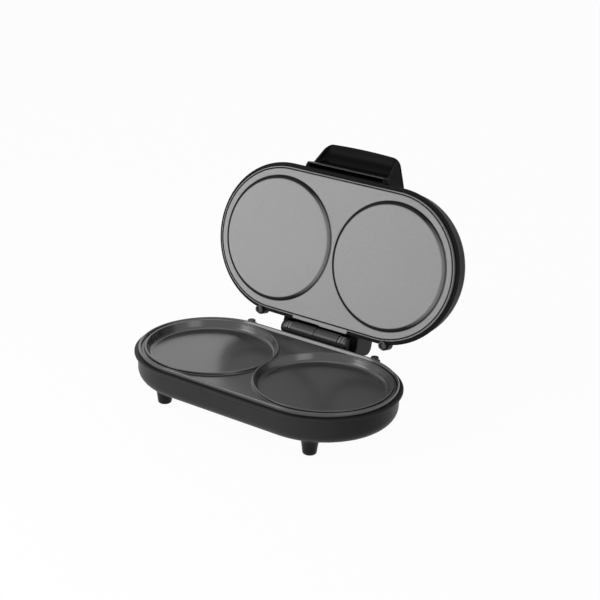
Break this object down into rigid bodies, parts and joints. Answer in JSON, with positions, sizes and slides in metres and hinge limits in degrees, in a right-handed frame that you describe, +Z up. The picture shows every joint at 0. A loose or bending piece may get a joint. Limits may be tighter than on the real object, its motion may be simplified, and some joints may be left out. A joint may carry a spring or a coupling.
{
  "type": "pancake maker",
  "caption": "Pancake maker on feet: a moulded tray with a cup plate, and a hinged lid with a disc plate and a scoop handle, shown open on its stop.",
  "frame": {"origin": "on the table plane under the middle of the lower cooking plate, midway between its two ends", "axes": "+X along the plates' length, +Y from the handle side to the hinge side, +Z up from the table"},
  "size_m": [0.3294, 0.2734, 0.2646],
  "materials": {
    "housing": "fine satin moulding",
    "handle": "glossy moulding",
    "lower_plate": "non-stick coating, satin",
    "upper_plate": "non-stick coating, fine matte grain",
    "sleeve": "satin, painted",
    "collar": "satin",
    "steel": "plain",
    "element": "heat-darkened sheath",
    "shield": "mill finish",
    "foot": "satin",
    "rubber": "matte",
    "buffer": "satin",
    "ceramic": "matte",
    "lamp_red": "clear red moulding",
    "lamp_green": "clear green moulding"
  },
  "bodies": {
    "base": {"base_housing": "housing", "lower_plate": "lower_plate", "lower_element": "element", "lower_shield": "shield", "base_screws": "steel", "thermostat": "ceramic", "thermal_fuse": "steel", "terminal_block": "ceramic", "cord_gland": "rubber", "hinge_cradle": "housing", "cradle_screws": "steel", "hinge_sleeve_left": "sleeve", "hinge_sleeve_right": "sleeve", "hinge_collar_left": "collar", "hinge_collar_right": "collar", "hinge_washer_left": "buffer", "hinge_washer_right": "buffer", "buffer_left": "buffer", "buffer_right": "buffer", "foot_front_left": "foot", "pad_front_left": "rubber", "foot_front_right": "foot", "pad_front_right": "rubber", "foot_rear_left": "foot", "pad_rear_left": "rubber", "foot_rear_right": "foot", "pad_rear_right": "rubber"},
    "lid": {"hinge_pin": "steel", "upper_plate": "upper_plate", "upper_element": "element", "upper_shield": "shield", "lid_frame": "housing", "lid_cover": "housing", "upper_plate_screws": "steel", "cover_screws": "steel", "lug_left": "buffer", "lug_right": "buffer", "power_lamp": "lamp_red", "ready_lamp": "lamp_green", "hinge_box": "housing", "hinge_screws": "steel", "handle_shell": "handle", "handle_ledge": "handle", "handle_screws": "steel"}
  },
  "joints": [
    {"name": "lid_hinge", "type": "hinge", "parent": "base", "child": "lid", "pos_m": [0, 0.09985, 0.0587], "axis": [1, 0, 0], "range_deg": [0, 103.6]}
  ]
}
